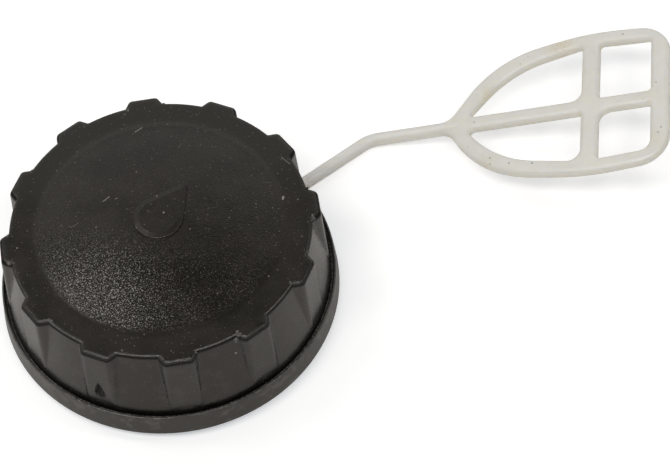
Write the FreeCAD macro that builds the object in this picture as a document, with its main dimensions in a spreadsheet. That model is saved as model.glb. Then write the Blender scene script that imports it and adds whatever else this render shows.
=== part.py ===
import FreeCAD, Part
import math
import os
import Sketcher

# Oil tank cap: a black screw cap with twelve grip lugs and a raised drop, its gasket, and a
# light leaf-shaped tether that turns on a post inside the cap.
# Frame: origin on the cap's axis in the plane of the flange's foot, +Z up through the dome.
# The strap leaves the cap towards +X +Y. Lengths in mm, angles in degrees.

os.makedirs("parts", exist_ok=True)
doc = FreeCAD.newDocument("OilTankCap")
nearly = 1e-3  # lengths closer than this count as equal
sheet = doc.addObject("Spreadsheet::Sheet", "Sizes")

driving = [
    # cap, outside
    ("flange_radius", 23.0, "radius of the flange at its foot"),
    ("flange_draft", 0.32, "the flange is this much narrower at its top"),
    ("flange_height", 3.6, "foot of the cap to the ledge"),
    ("flange_round", 0.18, "rounded edges of the flange"),
    ("ledge_width", 0.76, "ledge between flange edge and wall"),
    ("rim_width", 0.26, "flat rim outside the groove in the ledge"),
    ("groove_depth", 0.65, "groove along the foot of the wall"),
    ("groove_round", 0.25, "hollow fillet at the bottom of the groove"),
    ("cap_height", 15.0, "foot of the cap to the flat ring on top"),
    ("wall_taper", 1.92, "the wall between lugs leans in by this much"),
    ("top_round", 0.35, "rounded edge between wall and top ring"),
    ("ring_width", 3.6, "flat ring on top, from the wall to the dome"),
    ("dome_rise", 1.9, "dome above the top ring"),
    ("dome_round", 7.0, "hollow fillet between ring and dome"),
    # grip lugs
    ("lug_count", 12, "lugs around the cap"),
    ("lug_turn", 4.1, "turn of the first lug from +X"),
    ("lug_depth", 1.27, "lug beyond the wall at the top"),
    ("lug_fade", 0.08, "the lug's face ends this far inside the wall's foot"),
    ("lug_sink", 1.0, "root of a lug inside the wall at the top"),
    ("lug_flat", 2.94, "width of the lug's face at the top"),
    ("lug_flat_foot", 3.5, "width of the lug's face at the foot"),
    ("lug_flank", 30.0, "angle of a lug's flank from the radius"),
    ("lug_round", 0.75, "rounded corners of a lug"),
    ("lug_top_round", 0.7, "rounded top edge of a lug"),
    # raised drop
    ("drop_radius", 3.32, "round part of the drop"),
    ("drop_reach", 6.7, "centre of the round part to where the straight sides meet"),
    ("drop_tip_round", 0.35, "rounded tip of the drop"),
    ("drop_height", 0.35, "top of the drop above the dome's crown"),
    ("drop_turn", 52.3, "direction of the tip from +X"),
    ("drop_border", 0.75, "sloping border around the drop's flat top"),
    ("drop_fall", 0.18, "the border falls by this much"),
    ("drop_round", 0.12, "rounded edge of the drop"),
    # cap, inside
    ("wall_thickness", 1.7, "wall at the top, from the bore that carries the neck thread"),
    ("mouth_chamfer", 0.7, "chamfer at the mouth of the bore"),
    ("ceiling_thickness", 2.0, "top ring down to the ceiling"),
    ("gasket_width", 2.9, "gasket from the ring that centres it to its outside"),
    ("seat_width", 0.8, "wall of that ring"),
    ("seat_depth", 1.3, "ring below the ceiling"),
    ("gasket_height", 2.0, "gasket thickness"),
    ("gasket_side_gap", 0.4, "gasket to bore"),
    ("gasket_round", 0.3, "rounded edges of the gasket"),
    # snap post for the tether's eye
    ("post_radius", 2.0, "shaft that the eye turns on"),
    ("shoulder_radius", 3.6, "thicker root of the post"),
    ("shoulder_drop", 6.3, "ceiling down to the shoulder"),
    ("snap_head_overhang", 1.0, "snap head beyond the shaft"),
    ("snap_head_rim", 0.4, "straight rim of the snap head"),
    ("snap_head_cone", 1.5, "tapered nose of the snap head"),
    ("snap_slot", 0.8, "slot that lets the snap head close"),
    ("snap_slot_depth", 0.8, "slot past the shoulder"),
    # tether, eye and strap
    ("eye_side_gap", 0.3, "eye to shaft"),
    ("eye_play", 0.3, "eye to shoulder and to snap head"),
    ("eye_wall", 2.2, "wall of the eye"),
    ("eye_height", 1.8, "thickness of the eye"),
    ("eye_round", 0.4, "rounded edges of the eye"),
    ("strap_thickness", 1.86, "diameter of the round strap"),
    ("rim_gap", 0.3, "strap below the foot of the cap"),
    ("strap_azimuth", 33.23, "direction of the strap under the rim"),
    ("strap_offset", 2.68, "strap beside the axis"),
    ("strap_slope_run", 0.6, "level strap from the eye to the slope"),
    ("strap_inset", 3.0, "the slope ends this far inside the bore"),
    ("strap_bend", 2.5, "bend radius of the strap's centre line"),
    ("kink_reach", 13.36, "flange edge to the kink"),
    ("kink_bend", 3.0, "bend radius of the strap at the kink"),
    # tether, leaf
    ("leaf_azimuth", -8.68, "direction of the leaf beyond the kink"),
    ("leaf_pitch", 17.34, "the leaf rises by this angle"),
    ("leaf_thickness", 1.6, "thickness of the leaf's bars"),
    ("leaf_round", 0.68, "rounded edges of the leaf's bars"),
    ("neck_half", 0.87, "half width of the strap at the leaf"),
    ("neck_reach", 11.9, "kink to the neck"),
    ("neck_fillet", 2.75, "fillet from strap to leaf"),
    ("stem_lap", 2.5, "flat root of the leaf inside the round stem"),
    ("stem_nose", 1.4, "centre of the stem's rounded end beyond the neck"),
    ("leaf_shift", 0.65, "the frame stands this much to one side"),
    ("leaf_skew", 0.89, "shoulder of that side further along"),
    ("shoulder_reach", 17.42, "kink to the leaf's shoulder"),
    ("shoulder_half", 9.6, "half width of the leaf at its shoulder"),
    ("shoulder_fillet", 16.4, "round of the shoulder"),
    ("crown_reach", 31.7, "kink to the leaf's widest place"),
    ("crown_half", 12.08, "half width there"),
    ("crown_fillet", 36.5, "round of the widest place"),
    ("leaf_reach", 43.6, "kink to the end of the leaf"),
    ("heel_half", 11.12, "half width at the end"),
    ("heel_fillet", 4.74, "round of the end corners"),
    ("frame_width", 2.41, "outer bars of the leaf"),
    ("rib_half", 1.12, "half width of the middle rib"),
    ("bar_reach", 31.06, "kink to the cross bar"),
    ("bar_width", 2.53, "cross bar"),
    ("end_bar", 2.73, "bar across the end"),
    ("tip_wall", 2.7, "neck to the tips of the first windows"),
    ("window_fillet", 15.1, "long curve of the first windows"),
    ("window_corner", 0.5, "tight corners of the windows"),
    ("window_round", 1.65, "wide corners of the windows"),
]

derived = [
    ("flange_top_radius", "=flange_radius - flange_draft"),
    ("foot_radius", "=flange_top_radius - ledge_width"),
    ("wall_top_radius", "=foot_radius - wall_taper"),
    ("rim_radius", "=flange_top_radius - min(rim_width; 0.6 * ledge_width)"),
    ("groove_level", "=flange_height - groove_depth"),
    ("groove_slant", "=wall_taper * groove_depth / (cap_height - flange_height)"),
    ("groove_foot", "=min(foot_radius + groove_slant; rim_radius - 0.1 * ledge_width)"),
    ("dome_radius", "=wall_top_radius - ring_width"),
    ("bore_radius", "=wall_top_radius - wall_thickness"),
    ("crown_level", "=cap_height + dome_rise"),
    ("dome_centre", "=crown_level - (dome_radius ^ 2 + dome_rise ^ 2) / (2 * dome_rise)"),
    ("lug_tip", "=wall_top_radius + lug_depth"),
    ("lug_tip_foot", "=foot_radius - lug_fade"),
    ("lug_foot_level", "=flange_height - ledge_width / 2"),
    ("lug_round_level", "=cap_height - lug_top_round"),
    ("lug_root", "=wall_top_radius - lug_sink"),
    ("drop_level", "=crown_level + drop_height"),
    ("drop_base", "=cap_height - ceiling_thickness / 2"),
    ("drop_share", "=max(1 - drop_border / drop_radius; 0.3)"),
    ("drop_inner_radius", "=drop_radius * drop_share"),
    ("drop_inner_reach", "=drop_reach * drop_share"),
    ("drop_inner_tip_round", "=drop_tip_round * drop_share"),
    ("ceiling_level", "=cap_height - ceiling_thickness"),
    ("gasket_outer", "=bore_radius - gasket_side_gap"),
    ("seat_radius", "=gasket_outer - gasket_width"),
    ("seat_inner", "=seat_radius - seat_width"),
    ("seat_level", "=ceiling_level - seat_depth"),
    ("mouth_radius", "=bore_radius + mouth_chamfer"),
    ("gasket_level", "=ceiling_level - gasket_height"),
    ("shoulder_level", "=ceiling_level - shoulder_drop"),
    ("eye_top", "=shoulder_level - eye_play"),
    ("eye_level", "=eye_top - eye_height"),
    ("eye_middle", "=eye_top - eye_height / 2"),
    ("snap_head_top", "=eye_level - eye_play"),
    ("snap_head_side", "=snap_head_top - snap_head_rim"),
    ("snap_head_end", "=snap_head_side - snap_head_cone"),
    ("snap_head_radius", "=post_radius + snap_head_overhang"),
    ("snap_nose_radius", "=post_radius * 0.85"),
    ("slot_length", "=shoulder_level + snap_slot_depth - snap_head_end"),
    ("slot_across", "=2.4 * snap_head_radius"),
    ("eye_inner", "=post_radius + eye_side_gap"),
    ("eye_outer", "=eye_inner + eye_wall"),
    ("strap_radius", "=strap_thickness / 2"),
    ("strap_level", "=-(rim_gap + strap_radius)"),
    ("strap_start", "=eye_inner * 0.55 + strap_radius"),
    ("slope_start", "=eye_outer + strap_slope_run"),
    ("slope_end", "=bore_radius - strap_inset"),
    ("kink_along", "=flange_radius + kink_reach"),
    ("offset_x", "=-strap_offset * sin(strap_azimuth)"),
    ("offset_y", "=strap_offset * cos(strap_azimuth)"),
    ("kink_x", "=kink_along * cos(strap_azimuth) + offset_x"),
    ("kink_y", "=kink_along * sin(strap_azimuth) + offset_y"),
    ("bend_roll", "=atan2(sin(leaf_pitch); sin(leaf_azimuth - strap_azimuth) * cos(leaf_pitch))"),
    ("bend_angle", "=acos(cos(leaf_azimuth - strap_azimuth) * cos(leaf_pitch))"),
    ("bend_trim", "=kink_bend * tan(bend_angle / 2)"),
    ("bend_along", "=kink_along - bend_trim"),
    ("leaf_root", "=neck_reach - stem_lap"),
    ("nose_reach", "=neck_reach + stem_nose"),
    ("stem_length", "=nose_reach - bend_trim"),
    ("tip_reach", "=neck_reach + tip_wall"),
    ("window_shoulder_reach", "=shoulder_reach + 1.05 * frame_width"),
    ("window_shoulder_half", "=shoulder_half - 0.875 * frame_width"),
    ("window_crown_half", "=crown_half - frame_width"),
    ("window_heel_half", "=heel_half - 0.77 * frame_width"),
    ("bar_end", "=bar_reach + bar_width"),
    ("window_end", "=leaf_reach - end_bar"),
]
# a rounded edge is limited by the walls beside it
for used, limit in (("top_round", "0.3 * ring_width"),
                    ("dome_round", "2 * ring_width"),
                    ("groove_round", "0.8 * (rim_radius - groove_foot)"),
                    ("flange_round", "0.7 * rim_width; 0.3 * flange_height"),
                    ("drop_fall", "0.6 * drop_height"),
                    ("drop_round", "0.35 * drop_height"),
                    ("gasket_round", "0.4 * gasket_height; 0.4 * gasket_width"),
                    ("eye_round", "0.4 * eye_height; 0.4 * eye_wall"),
                    ("leaf_round", "0.45 * leaf_thickness; 0.45 * end_bar; 0.45 * rib_half * 2")):
    derived.append((used + "_used", "=min(" + used + "; " + limit + ")"))
derived.append(("drop_edge", "=drop_level - drop_fall_used"))
for step in (0, 1, 2, 3):
    turn = "(1 - cos(%d))" % (30 * step)
    derived.append(("lug_level_%d" % step, "=lug_round_level + lug_top_round * sin(%d)" % (30 * step)))
    derived.append(("lug_tip_%d" % step, "=lug_tip - lug_top_round * " + turn))
    derived.append(("lug_round_%d" % step, "=max(lug_round - lug_top_round * " + turn + "; 0.02)"))
for half in ("shoulder_half", "crown_half", "heel_half", "window_shoulder_half",
             "window_crown_half", "window_heel_half"):
    derived.append((half + "_up", "=" + half + " + leaf_shift"))
    derived.append((half + "_down", "=" + half + " - leaf_shift"))
for reach in ("shoulder_reach", "window_shoulder_reach"):
    derived.append((reach + "_up", "=" + reach + " + leaf_skew"))
    derived.append((reach + "_down", "=" + reach + " - leaf_skew"))

# outlines of the leaf: reach from the kink, distance across, and the corner's rounding
leafOutline = [
    ("leaf_root", "-neck_half", ""),
    ("neck_reach", "-neck_half", "neck_fillet"),
    ("shoulder_reach_down", "-shoulder_half_down", "shoulder_fillet"),
    ("crown_reach", "-crown_half_down", "crown_fillet"),
    ("leaf_reach", "-heel_half_down", "heel_fillet"),
    ("leaf_reach", "heel_half_up", "heel_fillet"),
    ("crown_reach", "crown_half_up", "crown_fillet"),
    ("shoulder_reach_up", "shoulder_half_up", "shoulder_fillet"),
    ("neck_reach", "neck_half", "neck_fillet"),
    ("leaf_root", "neck_half", ""),
]
windowOutlines = [
    [
        ("tip_reach", "rib_half", "window_corner"),
        ("bar_reach", "rib_half", "window_round"),
        ("bar_reach", "window_crown_half_up", "window_corner"),
        ("window_shoulder_reach_up", "window_shoulder_half_up", "window_fillet"),
    ],
    [
        ("tip_reach", "-rib_half", "window_corner"),
        ("bar_reach", "-rib_half", "window_corner"),
        ("bar_reach", "-window_crown_half_down", "window_round"),
        ("window_shoulder_reach_down", "-window_shoulder_half_down", "window_fillet"),
    ],
    [
        ("bar_end", "rib_half", "window_corner"),
        ("window_end", "rib_half", "window_corner"),
        ("window_end", "window_heel_half_up", "window_corner"),
        ("bar_end", "window_crown_half_up", "window_corner"),
    ],
    [
        ("bar_end", "-rib_half", "window_round"),
        ("window_end", "-rib_half", "window_corner"),
        ("window_end", "-window_heel_half_down", "window_round"),
        ("bar_end", "-window_crown_half_down", "window_corner"),
    ],
]

# a side that gets too short for the rounded corners at its ends shrinks them together
shares = {}
for index, corners in enumerate([leafOutline] + windowOutlines):
    count = len(corners)
    for i in range(count):
        before, here, after = corners[i - 1], corners[i], corners[(i + 1) % count]
        inX, inY = ["(%s - (%s))" % (here[k], before[k]) for k in (0, 1)]
        outX, outY = ["(%s - (%s))" % (after[k], here[k]) for k in (0, 1)]
        side, tangent = "side_%d_%d" % (index, i), "tangent_%d_%d" % (index, i)
        derived.append((side, "=hypot(%s; %s)" % (outX, outY)))
        derived.append((tangent, "=%s * abs(%s * %s - %s * %s) / (%s * side_%d_%d + %s * %s + %s * %s)"
                        % (here[2] or "0", inX, outY, inY, outX, side, index, (i - 1) % count,
                           inX, outX, inY, outY)))
    for i in range(count):
        after = (i + 1) % count
        share = "share_%d_%d" % (index, i)
        derived.append((share, "=min(1; 0.96 * side_%d_%d / max(tangent_%d_%d + tangent_%d_%d; 0.01))"
                        % (index, i, index, i, index, after)))
        for radius in (corners[i][2], corners[after][2]):
            if radius:
                shares.setdefault(radius, []).append(share)
for radius in shares:
    derived.append((radius + "_used", "=%s * min(%s)" % (radius, "; ".join(shares[radius]))))

row = 1
for name, value, note in driving:
    sheet.set("A%d" % row, name)
    sheet.set("B%d" % row, str(value))
    sheet.set("C%d" % row, note)
    sheet.setAlias("B%d" % row, name)
    row += 1
for name, formula in derived:
    sheet.set("A%d" % row, name)
    sheet.setAlias("B%d" % row, name)
    row += 1
first = len(driving) + 1
for index, (name, formula) in enumerate(derived):
    sheet.set("B%d" % (first + index), formula)
doc.recompute()


def size(name):
    if name.startswith("-"):
        return -size(name[1:])
    value = sheet.get(name)
    return value.Value if hasattr(value, "Value") else float(value)


def cell(name):
    if name.startswith("-"):
        return "-Sizes." + name[1:]
    return "Sizes." + name


def bind(thing, path, name):
    thing.setExpression(path, cell(name))


def newBody(name):
    return doc.addObject("PartDesign::Body", name)


def plane(body, role):
    for feature in body.Origin.OriginFeatures:
        if feature.Role == role:
            return feature


def newSketch(body, name, role, level=None):
    sketch = body.newObject("Sketcher::SketchObject", name)
    sketch.AttachmentSupport = [(plane(body, role), "")]
    sketch.MapMode = "FlatFace"
    if level:
        bind(sketch, ".AttachmentOffset.Base.z", level)
    return sketch


def rule(sketch, kind, *args):
    return sketch.addConstraint(Sketcher.Constraint(kind, *args))


def dimension(sketch, kind, *args):
    # the last argument names the cell that drives the dimension
    index = rule(sketch, kind, *args[:-1], size(args[-1]))
    bind(sketch, "Constraints[%d]" % index, args[-1])
    return index


def place(sketch, geo, end, across, along):
    for kind, axis, name in (("DistanceX", -2, across), ("DistanceY", -1, along)):
        if name == "0":
            rule(sketch, "PointOnObject", geo, end, axis)
        else:
            dimension(sketch, kind, -1, 1, geo, end, name)


def point(across, along):
    x = 0 if across == "0" else size(across)
    y = 0 if along == "0" else size(along)
    return FreeCAD.Vector(x, y, 0)


def loop(sketch, corners):
    # closed outline with straight sides, each corner placed by two cells
    start = sketch.GeometryCount
    count = len(corners)
    for i in range(count):
        side = Part.LineSegment(point(*corners[i]), point(*corners[(i + 1) % count]))
        sketch.addGeometry(side, False)
    for i in range(count):
        rule(sketch, "Coincident", start + i, 2, start + (i + 1) % count, 1)
        place(sketch, start + i, 1, *corners[i])


def edgesWhere(shape, test):
    found = []
    for index, edge in enumerate(shape.Edges):
        if test(edge):
            found.append("Edge%d" % (index + 1))
    return found


def fillet(body, name, base, edges, radius):
    feature = body.newObject("PartDesign::Fillet", name)
    feature.Base = (base, edges)
    bind(feature, "Radius", radius)
    doc.recompute()
    return feature


def atLevel(edge, level):
    return all(abs(v.Z - level) < nearly for v in edge.Vertexes)


def near(edge, radius):
    # whether the edge's middle is at this radius from the Z axis
    middle = edge.valueAt((edge.FirstParameter + edge.LastParameter) / 2)
    return abs(math.hypot(middle.x, middle.y) - size(radius)) < nearly


# Cap: turned profile with flange, groove, leaning wall, domed top, bore, gasket seat and post
cap = newBody("cap_shell")
profile = newSketch(cap, "CapProfile", "XZ_Plane")
outline = [
    ("0", "snap_head_end"),
    ("snap_nose_radius", "snap_head_end"),
    ("snap_head_radius", "snap_head_side"),
    ("snap_head_radius", "snap_head_top"),
    ("post_radius", "snap_head_top"),
    ("post_radius", "shoulder_level"),
    ("shoulder_radius", "shoulder_level"),
    ("shoulder_radius", "ceiling_level"),
    ("seat_inner", "ceiling_level"),
    ("seat_inner", "seat_level"),
    ("seat_radius", "seat_level"),
    ("seat_radius", "ceiling_level"),
    ("bore_radius", "ceiling_level"),
    ("bore_radius", "mouth_chamfer"),
    ("mouth_radius", "0"),
    ("flange_radius", "0"),
    ("flange_top_radius", "flange_height"),
    ("rim_radius", "flange_height"),
    ("rim_radius", "groove_level"),
    ("groove_foot", "groove_level"),
    ("wall_top_radius", "cap_height"),
    ("dome_radius", "cap_height"),
]
for i in range(len(outline) - 1):
    profile.addGeometry(Part.LineSegment(point(*outline[i]), point(*outline[i + 1])), False)
last = len(outline) - 2
crownPoint = point("0", "crown_level")
centre = point("0", "dome_centre")
edgePoint = point(*outline[-1])
ball = Part.Circle(centre, FreeCAD.Vector(0, 0, 1), centre.distanceToPoint(edgePoint))
arcStart = ball.parameter(edgePoint)
arcEnd = ball.parameter(crownPoint)
dome = profile.addGeometry(Part.ArcOfCircle(ball, arcStart, arcEnd), False)
axisLine = profile.addGeometry(Part.LineSegment(crownPoint, point(*outline[0])), False)
for i in range(last):
    rule(profile, "Coincident", i, 2, i + 1, 1)
rule(profile, "Coincident", last, 2, dome, 1)
rule(profile, "Coincident", dome, 2, axisLine, 1)
rule(profile, "Coincident", axisLine, 2, 0, 1)
for i in range(last + 1):
    place(profile, i, 1, *outline[i])
place(profile, last, 2, *outline[-1])
place(profile, dome, 2, "0", "crown_level")
rule(profile, "PointOnObject", dome, 3, -2)
turned = cap.newObject("PartDesign::Revolution", "CapTurned")
turned.Profile = profile
turned.ReferenceAxis = (profile, ["V_Axis"])
turned.Angle = 360
doc.recompute()


# Rounded edges of the turned cap
height = size("cap_height")
ledge = size("flange_height")
wallEdge = edgesWhere(turned.Shape, lambda e: atLevel(e, height) and near(e, "wall_top_radius"))
topRounded = fillet(cap, "TopRounded", turned, wallEdge, "top_round_used")
domeEdge = edgesWhere(topRounded.Shape, lambda e: atLevel(e, height) and near(e, "dome_radius"))
domeRounded = fillet(cap, "DomeRounded", topRounded, domeEdge, "dome_round_used")
bottom = size("groove_level")
footEdge = edgesWhere(domeRounded.Shape, lambda e: atLevel(e, bottom) and near(e, "groove_foot"))
footRounded = fillet(cap, "GrooveRounded", domeRounded, footEdge, "groove_round_used")
flangeEdges = edgesWhere(footRounded.Shape,
                         lambda e: (atLevel(e, ledge) and near(e, "flange_top_radius"))
                         or (atLevel(e, 0) and near(e, "flange_radius")))
fillet(cap, "FlangeRounded", footRounded, flangeEdges, "flange_round_used")


# Grip lug: the face leans in to the top and fades into the wall above the ledge
def lugSection(name, level, tip, flat, corner):
    sketch = newSketch(cap, name, "XY_Plane", level)
    half = size(flat) / 2
    radius = size(corner)
    slant = math.radians(size("lug_flank"))
    x = size(tip)
    inner = size("lug_root")
    touchX = x - radius + radius * math.sin(slant)
    touchY = half + radius * math.cos(slant)
    innerY = touchY + (touchX - inner) * math.tan(slant)
    for side in (1, -1):
        flank = Part.LineSegment(FreeCAD.Vector(inner, side * innerY, 0),
                                 FreeCAD.Vector(touchX, side * touchY, 0))
        ring = Part.Circle(FreeCAD.Vector(x - radius, side * half, 0),
                           FreeCAD.Vector(0, 0, 1), radius)
        sketch.addGeometry(flank, False)
        if side > 0:
            sketch.addGeometry(Part.ArcOfCircle(ring, 0, math.pi / 2 - slant), False)
        else:
            sketch.addGeometry(Part.ArcOfCircle(ring, slant - math.pi / 2, 0), False)
    face = sketch.addGeometry(Part.LineSegment(FreeCAD.Vector(x, half, 0),
                                               FreeCAD.Vector(x, -half, 0)), False)
    back = sketch.addGeometry(Part.LineSegment(FreeCAD.Vector(inner, -innerY, 0),
                                               FreeCAD.Vector(inner, innerY, 0)), False)
    rule(sketch, "Tangent", 0, 2, 1, 2)
    rule(sketch, "Tangent", 1, 1, face, 1)
    rule(sketch, "Tangent", face, 2, 3, 2)
    rule(sketch, "Tangent", 3, 1, 2, 2)
    rule(sketch, "Coincident", back, 1, 2, 1)
    rule(sketch, "Coincident", back, 2, 0, 1)
    rule(sketch, "Symmetric", face, 1, face, 2, -1)
    rule(sketch, "Symmetric", back, 1, back, 2, -1)
    rule(sketch, "Equal", 1, 3)
    dimension(sketch, "Radius", 1, corner)
    dimension(sketch, "DistanceX", -1, 1, face, 1, tip)
    dimension(sketch, "DistanceX", -1, 1, back, 1, "lug_root")
    dimension(sketch, "DistanceY", face, 2, face, 1, flat)
    angle = rule(sketch, "Angle", back, 2, 0, 1, math.pi / 2 - slant)
    sketch.setExpression("Constraints[%d]" % angle, "90 deg - Sizes.lug_flank * 1 deg")
    bind(sketch, ".AttachmentOffset.Rotation.Angle", "lug_turn")
    return sketch


footSection = lugSection("LugFoot", "lug_foot_level", "lug_tip_foot", "lug_flat_foot", "lug_round_0")
steps = []
for step in range(4):
    steps.append(lugSection("LugStep%d" % step, "lug_level_%d" % step, "lug_tip_%d" % step,
                            "lug_flat", "lug_round_%d" % step))
doc.recompute()
lug = cap.newObject("PartDesign::AdditiveLoft", "Lug")
lug.Profile = footSection
lug.Sections = steps
lug.Ruled = True
doc.recompute()
lugs = cap.newObject("PartDesign::PolarPattern", "Lugs")
lugs.Originals = [lug]
lugs.Axis = (plane(cap, "Z_Axis"), [""])
lugs.Angle = 360
bind(lugs, "Occurrences", "lug_count")
cap.Tip = lugs
doc.recompute()

# Slot across the snap post
slotSketch = newSketch(cap, "SnapSlot", "XY_Plane", "snap_head_end")
halfLength, halfWidth = size("slot_across") / 2, size("snap_slot") / 2
slotCorners = [FreeCAD.Vector(x * halfLength, y * halfWidth, 0)
               for x, y in ((-1, -1), (1, -1), (1, 1), (-1, 1))]
for i in range(4):
    slotSketch.addGeometry(Part.LineSegment(slotCorners[i], slotCorners[(i + 1) % 4]), False)
for i in range(4):
    rule(slotSketch, "Coincident", i, 2, (i + 1) % 4, 1)
rule(slotSketch, "Horizontal", 0)
rule(slotSketch, "Vertical", 1)
rule(slotSketch, "Horizontal", 2)
rule(slotSketch, "Symmetric", 0, 1, 1, 2, -1, 1)
dimension(slotSketch, "DistanceX", 0, 1, 0, 2, "slot_across")
dimension(slotSketch, "DistanceY", 1, 1, 1, 2, "snap_slot")
solidBefore = lugs.Shape.Volume
slot = cap.newObject("PartDesign::Pocket", "SnapSlotCut")
slot.Profile = slotSketch
slot.Reversed = True
bind(slot, "Length", "slot_length")
doc.recompute()
if not slot.Shape.Volume < solidBefore - 1:
    raise RuntimeError("the slot cuts nothing")

# Raised drop: round part about the axis, straight sides, rounded tip and a sloping border
def dropSection(name, level, outside, reach, corner):
    sketch = newSketch(cap, name, "XY_Plane", level)
    radius, small = size(outside), size(corner)
    lean = math.asin(radius / size(reach))
    bulb = Part.Circle(FreeCAD.Vector(0, 0, 0), FreeCAD.Vector(0, 0, 1), radius)
    tip = Part.Circle(FreeCAD.Vector(size(reach) - small / math.sin(lean), 0, 0),
                      FreeCAD.Vector(0, 0, 1), small)
    side = math.pi / 2 - lean
    ends = []
    for way in (side, -side):
        ends.append([circle.Center + FreeCAD.Vector(math.cos(way), math.sin(way), 0) * circle.Radius
                     for circle in (bulb, tip)])
    sketch.addGeometry(Part.ArcOfCircle(bulb, side, 2 * math.pi - side), False)
    sketch.addGeometry(Part.LineSegment(ends[1][0], ends[1][1]), False)
    sketch.addGeometry(Part.ArcOfCircle(tip, -side, side), False)
    sketch.addGeometry(Part.LineSegment(ends[0][1], ends[0][0]), False)
    mark = sketch.addGeometry(Part.Point(FreeCAD.Vector(size(reach), 0, 0)), True)
    rule(sketch, "Coincident", 0, 3, -1, 1)
    rule(sketch, "PointOnObject", 2, 3, -1)
    rule(sketch, "PointOnObject", mark, 1, -1)
    rule(sketch, "PointOnObject", mark, 1, 1)
    rule(sketch, "Tangent", 0, 2, 1, 1)
    rule(sketch, "Tangent", 1, 2, 2, 1)
    rule(sketch, "Tangent", 2, 2, 3, 1)
    rule(sketch, "Tangent", 3, 2, 0, 1)
    dimension(sketch, "Radius", 0, outside)
    dimension(sketch, "Radius", 2, corner)
    dimension(sketch, "DistanceX", -1, 1, mark, 1, reach)
    bind(sketch, ".AttachmentOffset.Rotation.Angle", "drop_turn")
    return sketch


dropFoot = dropSection("DropFoot", "drop_base", "drop_radius", "drop_reach", "drop_tip_round")
dropSteps = [
    dropSection("DropEdge", "drop_edge", "drop_radius", "drop_reach", "drop_tip_round"),
    dropSection("DropTop", "drop_level", "drop_inner_radius", "drop_inner_reach",
                "drop_inner_tip_round"),
]
doc.recompute()
drop = cap.newObject("PartDesign::AdditiveLoft", "Drop")
drop.Profile = dropFoot
drop.Sections = dropSteps
drop.Ruled = True
doc.recompute()
dropEdge = size("drop_edge")
dropEdges = edgesWhere(drop.Shape, lambda e: atLevel(e, dropEdge))
fillet(cap, "DropRounded", drop, dropEdges, "drop_round_used")

# Gasket: flat ring between the seat ring and the bore, against the ceiling
gasket = newBody("sealing_gasket")
gasketSketch = newSketch(gasket, "GasketSection", "XZ_Plane")
loop(gasketSketch, [
    ("seat_radius", "gasket_level"),
    ("gasket_outer", "gasket_level"),
    ("gasket_outer", "ceiling_level"),
    ("seat_radius", "ceiling_level"),
])
gasketRing = gasket.newObject("PartDesign::Revolution", "GasketRing")
gasketRing.Profile = gasketSketch
gasketRing.ReferenceAxis = (gasketSketch, ["V_Axis"])
gasketRing.Angle = 360
doc.recompute()
lowest = size("gasket_level")
lipEdges = edgesWhere(gasketRing.Shape, lambda e: atLevel(e, lowest))
fillet(gasket, "GasketRounded", gasketRing, lipEdges, "gasket_round_used")

# Tether: the eye on the snap post
eye = newBody("TetherEye")
eyeSketch = newSketch(eye, "EyeSection", "XZ_Plane")
loop(eyeSketch, [
    ("eye_inner", "eye_level"),
    ("eye_outer", "eye_level"),
    ("eye_outer", "eye_top"),
    ("eye_inner", "eye_top"),
])
eyeRing = eye.newObject("PartDesign::Revolution", "EyeRing")
eyeRing.Profile = eyeSketch
eyeRing.ReferenceAxis = (eyeSketch, ["V_Axis"])
eyeRing.Angle = 360
doc.recompute()
outerEdges = edgesWhere(eyeRing.Shape, lambda e: near(e, "eye_outer"))
fillet(eye, "EyeRounded", eyeRing, outerEdges, "eye_round_used")

# Tether: round strap, down from the eye and level below the rim as far as the kink
strap = newBody("TetherStrap")
strap.setExpression("Placement", "placement(vector(Sizes.offset_x; Sizes.offset_y; 0);"
                    " rotation(Sizes.strap_azimuth; 0; 0))")
path = newSketch(strap, "StrapPath", "XZ_Plane")
corners = [
    ("strap_start", "eye_middle"),
    ("slope_start", "eye_middle"),
    ("slope_end", "strap_level"),
    ("bend_along", "strap_level"),
]
spots = [point(*corner) for corner in corners]
ways = [(spots[i + 1] - spots[i]).normalize() for i in range(3)]
turns = [math.atan2(ways[i].cross(ways[i + 1]).z, ways[i].dot(ways[i + 1])) for i in range(2)]
bend = size("strap_bend")
trims = [0] + [bend * math.tan(abs(turn) / 2) for turn in turns] + [0]
for i in range(3):
    start = spots[i] + ways[i] * trims[i]
    end = spots[i + 1] - ways[i] * trims[i + 1]
    path.addGeometry(Part.LineSegment(start, end), False)
for i in range(2):
    left = 1 if turns[i] > 0 else -1
    start = spots[i + 1] - ways[i] * trims[i + 1]
    end = spots[i + 1] + ways[i + 1] * trims[i + 1]
    centre = start + FreeCAD.Vector(-ways[i].y, ways[i].x, 0) * bend * left
    angles = [math.atan2(spot.y - centre.y, spot.x - centre.x) for spot in (start, end)]
    if left < 0:
        angles.reverse()
    if angles[1] < angles[0]:
        angles[1] += 2 * math.pi
    circle = Part.Circle(centre, FreeCAD.Vector(0, 0, 1), bend)
    arc = path.addGeometry(Part.ArcOfCircle(circle, angles[0], angles[1]), False)
    mark = path.addGeometry(Part.Point(spots[i + 1]), True)
    place(path, mark, 1, *corners[i + 1])
    rule(path, "PointOnObject", mark, 1, i)
    rule(path, "PointOnObject", mark, 1, i + 1)
    rule(path, "Tangent", i, 2, arc, 1 if left > 0 else 2)
    rule(path, "Tangent", i + 1, 1, arc, 2 if left > 0 else 1)
    dimension(path, "Radius", arc, "strap_bend")
place(path, 0, 1, *corners[0])
place(path, 2, 2, *corners[3])
section = newSketch(strap, "StrapSection", "YZ_Plane", "strap_start")
ring = Part.Circle(point("0", "eye_middle"), FreeCAD.Vector(0, 0, 1), size("strap_radius"))
section.addGeometry(ring, False)
dimension(section, "Radius", 0, "strap_radius")
place(section, 0, 3, "0", "eye_middle")
doc.recompute()
pipe = strap.newObject("PartDesign::AdditivePipe", "StrapPipe")
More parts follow.
